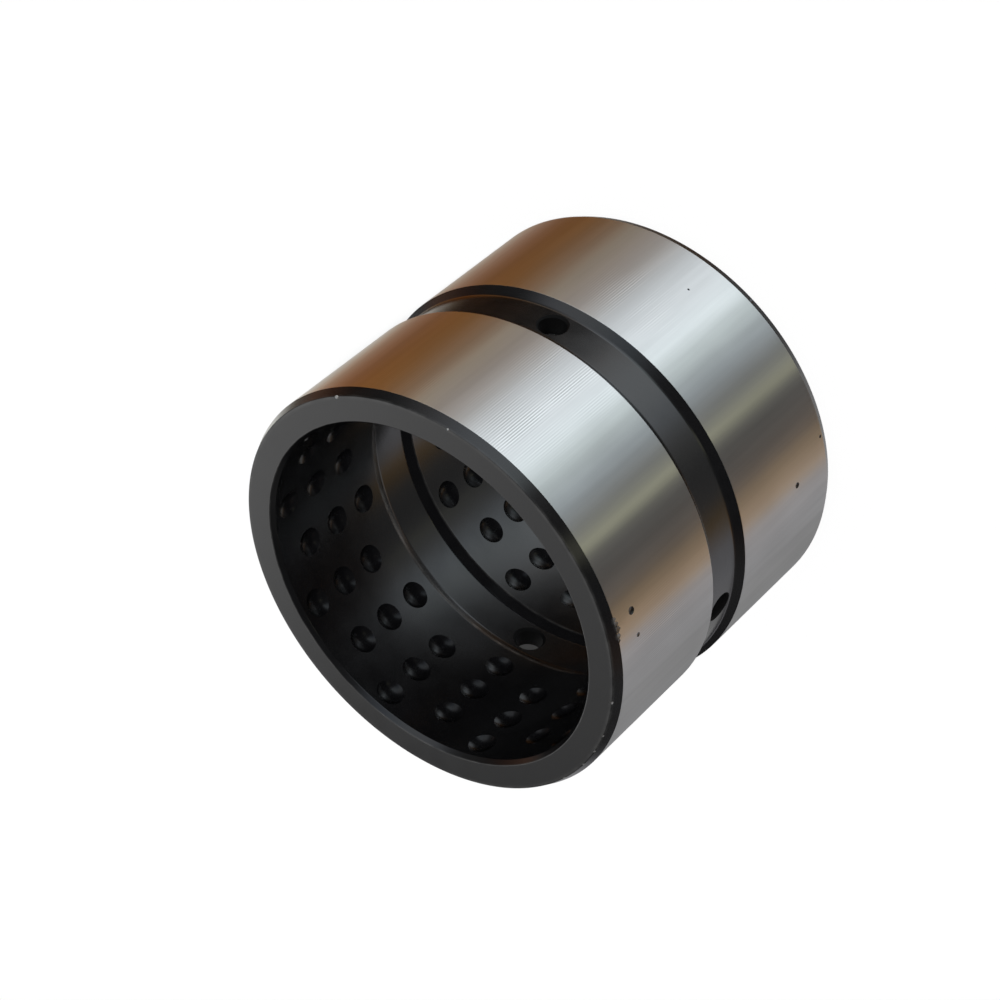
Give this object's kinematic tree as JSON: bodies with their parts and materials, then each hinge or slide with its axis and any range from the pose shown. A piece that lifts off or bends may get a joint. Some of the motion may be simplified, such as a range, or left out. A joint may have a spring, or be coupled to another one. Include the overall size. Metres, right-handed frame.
{
  "type": "sleeve bearing",
  "caption": "Steel sleeve bearing for a greased pin, with a grease groove round its outside and its bore, radial oil holes and a staggered field of round grease pockets.",
  "frame": {"origin": "centre of the lower end face, on the surface that the sleeve stands on", "axes": "+Z along the sleeve's axis, away from the lower end face; +X through one of the oil holes"},
  "size_m": [0.095, 0.095, 0.08],
  "materials": {
    "steel": "black oxide all over, with the outside diameter ground bright after blackening"
  },
  "bodies": {
    "root": {"bushing": "steel"}
  },
  "joints": []
}
